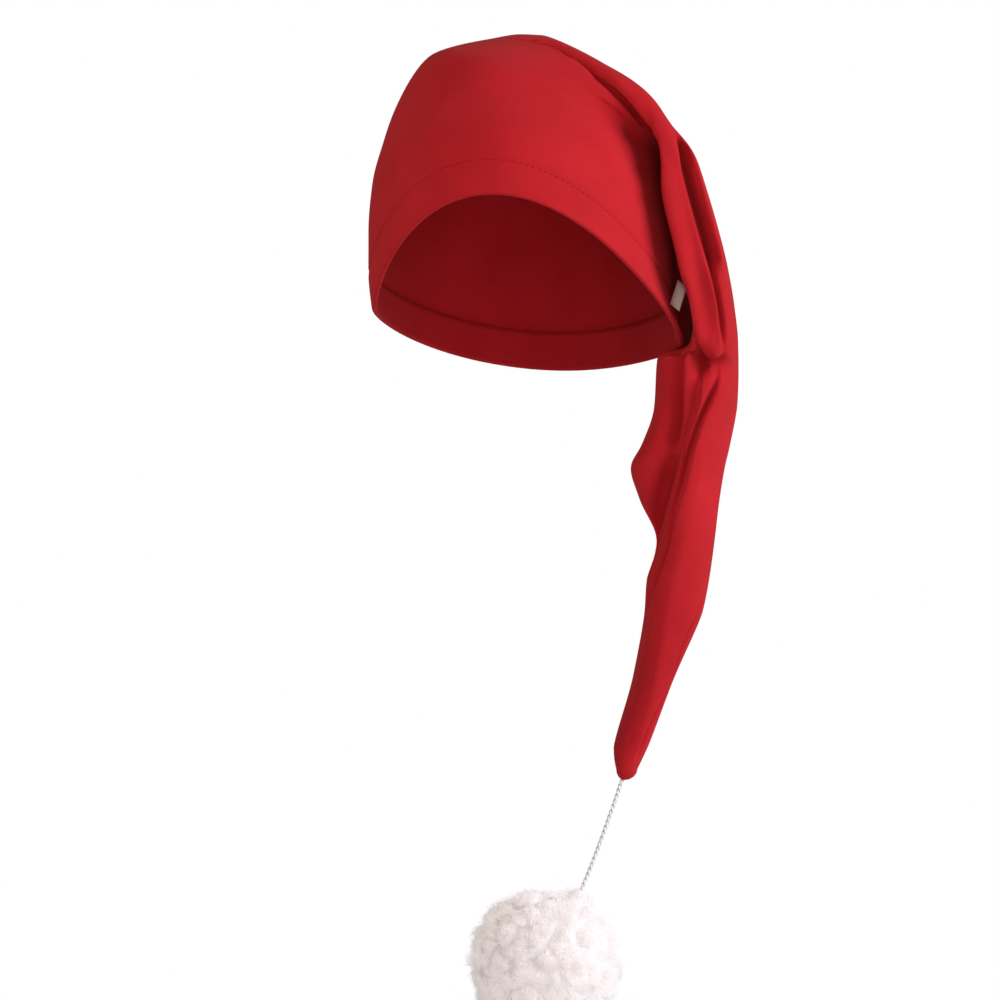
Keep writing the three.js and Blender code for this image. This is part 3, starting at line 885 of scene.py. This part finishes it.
bm = bmesh.new()
column = [bm.verts.new((0, 0, z * LABEL_HEIGHT * MM)) for z in np.linspace(-0.5, 0.5, LABEL_ROWS)]
edges = [bm.edges.new(pair) for pair in zip(column[:-1], column[1:])]
previous_x = 0.0
for i, (x, y) in enumerate(tape_line):
    if i:
        made = bmesh.ops.extrude_edge_only(bm, edges=edges)["geom"]
        column = [item for item in made if isinstance(item, bmesh.types.BMVert)]
        edges = [
            item for item in made
            if isinstance(item, bmesh.types.BMEdge) and all(vert in column for vert in item.verts)]
    for vert in column:
        vert.co.x, vert.co.y = x * MM, y * MM
        vert.co.z -= LABEL_DROOP * (x - previous_x) * MM
    previous_x = x
bmesh.ops.recalc_face_normals(bm, faces=bm.faces)
turn = Matrix.Rotation(LABEL_LEAN, 4, "Y") @ Matrix.Rotation(LABEL_TURN, 4, "Z")
bmesh.ops.transform(bm, matrix=Matrix.Translation(LABEL_SEAM) @ turn, verts=bm.verts)
label = finish_piece("label_fold", bm, label_tape, "care_label")
tape = label.modifiers.new("tape_thickness", "SOLIDIFY")
tape.thickness = LABEL_CLOTH
tape.offset = 0.0

# %% [markdown]
# The pompom
#
# The pompom is a ball of long soft pile. A firm core carries thousands of thin tapered hairs that
# lean together in tufts. Particle hair would not be a mesh, so the hairs are joined meshes made
# from arrays. Each hair is a bent three-sided cone, and close to the cord the pile gathers up
# along it. The finish has a faint warm glow: painted light that stands in for the light that white
# hairs pass on to each other many times.


# %% pile material
def pile_finish(name, dark, light, painted_glow):
    """White fibre, with a painted glow that stands in for light passed from hair to hair."""
    material, shader = new_finish(
        name, Roughness=0.8, Sheen_Weight=0.3, Sheen_Roughness=0.4,
        Emission_Color=(1.0, 0.88, 0.83, 1.0), Emission_Strength=painted_glow)
    mottle(material, shader, 160.0, dark, light)
    print("finish:", name)
    return material


# The hairs get the stronger painted glow. The core under them is darker and has a weaker painted glow.
white_pile = pile_finish("white_pile", (0.92, 0.89, 0.89), (0.985, 0.965, 0.97), 0.22)
pile_base = pile_finish("pile_base", (0.82, 0.78, 0.78), (0.88, 0.84, 0.84), 0.06)

# %% pompom core
POMPOM_CENTRE = np.array([16.0, 0.0, -375.0]) * MM
CORE_RADIUS = 0.0378
CORE_WAVE = 0.03

bm = bmesh.new()
bmesh.ops.create_icosphere(bm, subdivisions=5, radius=CORE_RADIUS)
for vert in bm.verts:
    x, y, z = vert.co / CORE_RADIUS
    wave = math.sin(9 * x + 4 * z) * math.sin(8 * y - 5 * z) * math.sin(7 * z + 3 * x)
    vert.co *= 1 + CORE_WAVE * wave
bmesh.ops.translate(bm, vec=Vector(POMPOM_CENTRE), verts=bm.verts)
finish_piece("pompom_core", bm, pile_base, "pompom")

# %% tufts of the pile
POMPOM_RADIUS = 0.0430
TUFT_COUNT = 330
TUFT_SCATTER = 0.07
TUFT_REACH_SPREAD = 0.035
TUFT_LEAN = 0.13

random = np.random.default_rng(12)


def even_directions(count):
    """Directions spread evenly over a ball, by turns of the golden angle."""
    height = 1 - 2 * (np.arange(count) + 0.5) / count
    turn = np.arange(count) * math.pi * (3 - math.sqrt(5))
    radius = np.sqrt(1 - height ** 2)
    return np.stack([radius * np.cos(turn), radius * np.sin(turn), height], axis=1)


def unit(vectors):
    return vectors / np.linalg.norm(vectors, axis=-1, keepdims=True)


tufts = unit(even_directions(TUFT_COUNT) + TUFT_SCATTER * random.normal(size=(TUFT_COUNT, 3)))
tuft_reach = POMPOM_RADIUS * (1 + TUFT_REACH_SPREAD * random.normal(size=TUFT_COUNT))
tuft_lean = TUFT_LEAN * random.normal(size=(TUFT_COUNT, 3))
print("tufts:", TUFT_COUNT)

# %% lines of the hairs
HAIR_POINTS = 4
HAIR_ROOT = CORE_RADIUS - 0.0012
HAIR_CLUMP = (0.25, 0.75)
HAIR_SCATTER = 0.05
HAIR_REACH = (0.9, 1.02)
HAIR_BEND = 1.5
HAIR_SAG = 0.0016
CORD_GATHER = math.radians(24)
CORD_GATHER_SHARE = 0.85
CORD_GATHER_LENGTH = 0.007

to_cord = unit(cord_line[-1] - POMPOM_CENTRE)


def hair_lines(count):
    """Points of each hair from its root to its tip."""
    roots = unit(random.normal(size=(count, 3)))
    tuft = np.argmax(roots @ tufts.T, axis=1)
    clump = random.uniform(*HAIR_CLUMP, size=(count, 1))
    tips = unit(roots * (1 - clump) + (tufts[tuft] + tuft_lean[tuft]) * clump)
    tips = unit(tips + HAIR_SCATTER * random.normal(size=(count, 3)))
    reach = (tuft_reach[tuft] * random.uniform(*HAIR_REACH, size=count))[:, None]
    near_cord = smooth_step(1 - np.arccos(np.clip(roots @ to_cord, -1, 1)) / CORD_GATHER)[:, None]
    gather = CORD_GATHER_SHARE * near_cord
    tips = unit(tips * (1 - gather) + to_cord * gather)
    reach = reach + CORD_GATHER_LENGTH * near_cord ** 2
    share = np.linspace(0, 1, HAIR_POINTS)[None, :, None]
    radius = HAIR_ROOT + (reach[:, None] - HAIR_ROOT) * share
    bend = share ** HAIR_BEND
    lines = unit(roots[:, None] * (1 - bend) + tips[:, None] * bend) * radius
    lines[:, :, 2] -= HAIR_SAG * share[:, :, 0] ** 2
    return lines + POMPOM_CENTRE


# %% hairs of the pile
HAIRS_IN_PIECE = 12000
HAIR_PIECES = 3
HAIR_SIDES = 3
HAIR_RADIUS = 0.00017
HAIR_TAPER = 0.75


def hair_faces():
    """Faces of one hair: its root, the sides between its rings, and the sides that meet in its tip."""
    faces = [tuple(reversed(range(HAIR_SIDES)))]
    last = (HAIR_POINTS - 2) * HAIR_SIDES
    tip = last + HAIR_SIDES
    for low in range(0, last, HAIR_SIDES):
        for k in range(HAIR_SIDES):
            n = (k + 1) % HAIR_SIDES
            faces.append((low + k, low + n, low + n + HAIR_SIDES, low + k + HAIR_SIDES))
    return faces + [(last + k, last + (k + 1) % HAIR_SIDES, tip) for k in range(HAIR_SIDES)]


def hair_mesh(name, lines):
    """Joined thin cones: rings of three points along each line, closed at the root and the tip."""
    count = len(lines)
    along = unit(np.gradient(lines, axis=1))
    side = unit(np.cross(along, unit(random.normal(size=(count, 1, 3)))))
    up = np.cross(along, side)
    turns = (2 * math.pi * np.arange(HAIR_SIDES) / HAIR_SIDES)[None, None, :, None]
    taper = (1 - HAIR_TAPER * np.linspace(0, 1, HAIR_POINTS))[None, :, None, None]
    rings = lines[:, :, None] + HAIR_RADIUS * taper * (
        np.cos(turns) * side[:, :, None] + np.sin(turns) * up[:, :, None])
    rings = rings[:, :-1].reshape(count, -1, 3)
    points = np.concatenate([rings, lines[:, -1:]], axis=1)
    size = points.shape[1]
    one_hair = hair_faces()
    faces = [tuple(i + hair * size for i in face) for hair in range(count) for face in one_hair]
    mesh = bpy.data.meshes.new(name)
    mesh.from_pydata(points.reshape(-1, 3), [], faces)
    return mesh


for number in range(1, HAIR_PIECES + 1):
    name = f"pompom_pile_{number}"
    place_piece(name, hair_mesh(name, hair_lines(HAIRS_IN_PIECE)), white_pile)

# %% [markdown]
# The size of the cloth
#
# The hat's cut is a long triangle. The area of its cloth, as the mesh has it, is printed here.
# A worn hat is held stretched.

print("sheet of", round(sheet_area, 3), "square metres")

# %% [markdown]
# The studio
#
# A plain pale floor lies well below the hanging pompom. The light is soft: a large cool window light
# from the right, a weak warm lamp whose narrow beam falls on the left of the crown, and a broad fill
# from the front that opens the shadows in the folds. The room all round is white to the camera, but
# gives only a weak light, so that the folds keep their shadows.

# %% floor
FLOOR_RADIUS = 3.0
FLOOR_SEGMENTS = 96
FLOOR_HEIGHT = -0.75

pale_floor, floor_shader = new_finish("pale_floor", Roughness=0.7)
mottle(pale_floor, floor_shader, 3.0, (0.80, 0.79, 0.78), (0.84, 0.83, 0.82))
bm = bmesh.new()
bmesh.ops.create_circle(bm, segments=FLOOR_SEGMENTS, radius=FLOOR_RADIUS, cap_ends=True)
bmesh.ops.translate(bm, vec=(0.0, 0.0, FLOOR_HEIGHT), verts=bm.verts)
floor_mesh = bpy.data.meshes.new("floor")
bm.to_mesh(floor_mesh)
bm.free()
floor_mesh.materials.append(pale_floor)
floor = bpy.data.objects.new("floor", floor_mesh)
bpy.context.scene.collection.objects.link(floor)
print("floor at", FLOOR_HEIGHT, "m")

# %% lights
LIGHT_TARGET = Vector((0.03, 0.0, -0.02))
CROWN_LEFT = Vector((-0.08, 0.0, 0.12))


def soft_light(name, place, size, power, colour, target=LIGHT_TARGET, spread=180.0):
    """A square area light that points at its target. The spread of its beam is in degrees."""
    data = bpy.data.lights.new(name, "AREA")
    data.size = size
    data.energy = power
    data.color = colour
    data.spread = math.radians(spread)
    lamp = bpy.data.objects.new(name, data)
    bpy.context.scene.collection.objects.link(lamp)
    lamp.location = place
    lamp.rotation_euler = (target - Vector(place)).to_track_quat("-Z", "Y").to_euler()
    print(name, "gives", power, "W")


soft_light("window_right", (2.35, -1.15, 0.9), 2.0, 78.0, (0.92, 0.93, 1.0))
soft_light("lamp_left", (-2.3, -1.0, 0.9), 0.6, 0.5, (1.0, 0.72, 0.50), CROWN_LEFT, 22.0)
soft_light("front_fill", (0.2, -4.5, 0.2), 2.5, 42.0, (1.0, 0.96, 0.95))

# %% white room
WHITE = (1.0, 1.0, 1.0, 1.0)
ROOM_LIGHT = 0.2
BACKDROP = 1.0

world = bpy.data.worlds.new("white_room")
world.use_nodes = True
bpy.context.scene.world = world
room = world.node_tree.nodes["Background"]
room.inputs["Color"].default_value = WHITE
room.inputs["Strength"].default_value = ROOM_LIGHT
backdrop = add_node(world, "ShaderNodeBackground", Color=WHITE, Strength=BACKDROP)
seen = add_node(world, "ShaderNodeLightPath")
mix = add_node(world, "ShaderNodeMixShader")
wire(world, seen.outputs["Is Camera Ray"], mix.inputs["Fac"])
wire(world, room.outputs["Background"], mix.inputs[1])
wire(world, backdrop.outputs["Background"], mix.inputs[2])
wire(world, mix.outputs["Shader"], world.node_tree.nodes["World Output"].inputs["Surface"])
bpy.context.scene.view_settings.view_transform = "Standard"
print("room light:", ROOM_LIGHT)
